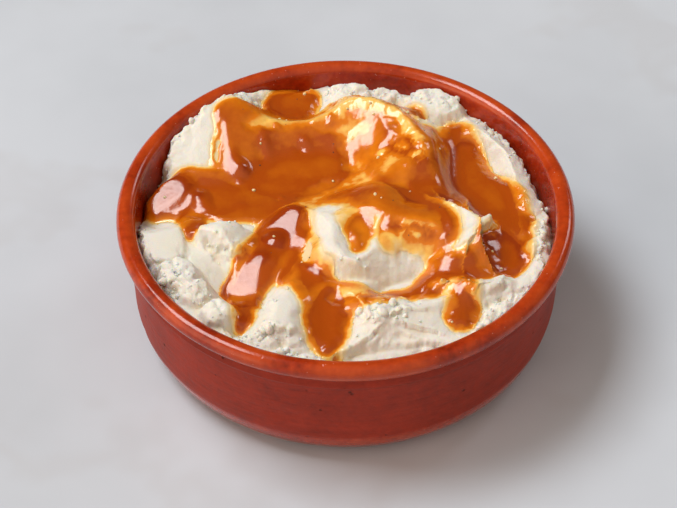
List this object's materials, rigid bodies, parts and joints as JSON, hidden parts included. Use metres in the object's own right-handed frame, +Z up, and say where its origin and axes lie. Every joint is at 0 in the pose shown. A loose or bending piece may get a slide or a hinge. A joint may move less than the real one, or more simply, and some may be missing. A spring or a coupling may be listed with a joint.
{
  "type": "mashed potato side dish",
  "caption": "Round terracotta dish filled with spooned mashed potato under a pour of brown gravy, as a side to a meal.",
  "frame": {"origin": "centre of the dish's base, on the surface it stands on", "axes": "+Z up out of the dish; -Y the side seen from the front; +X to the right of that view"},
  "size_m": [0.145, 0.145, 0.0524],
  "materials": {
    "dish": "satin",
    "mashed_potato": "matte",
    "gravy": "gloss"
  },
  "bodies": {
    "root": {"dish": "dish", "mashed_potato": "mashed_potato", "gravy": "gravy"}
  },
  "joints": []
}
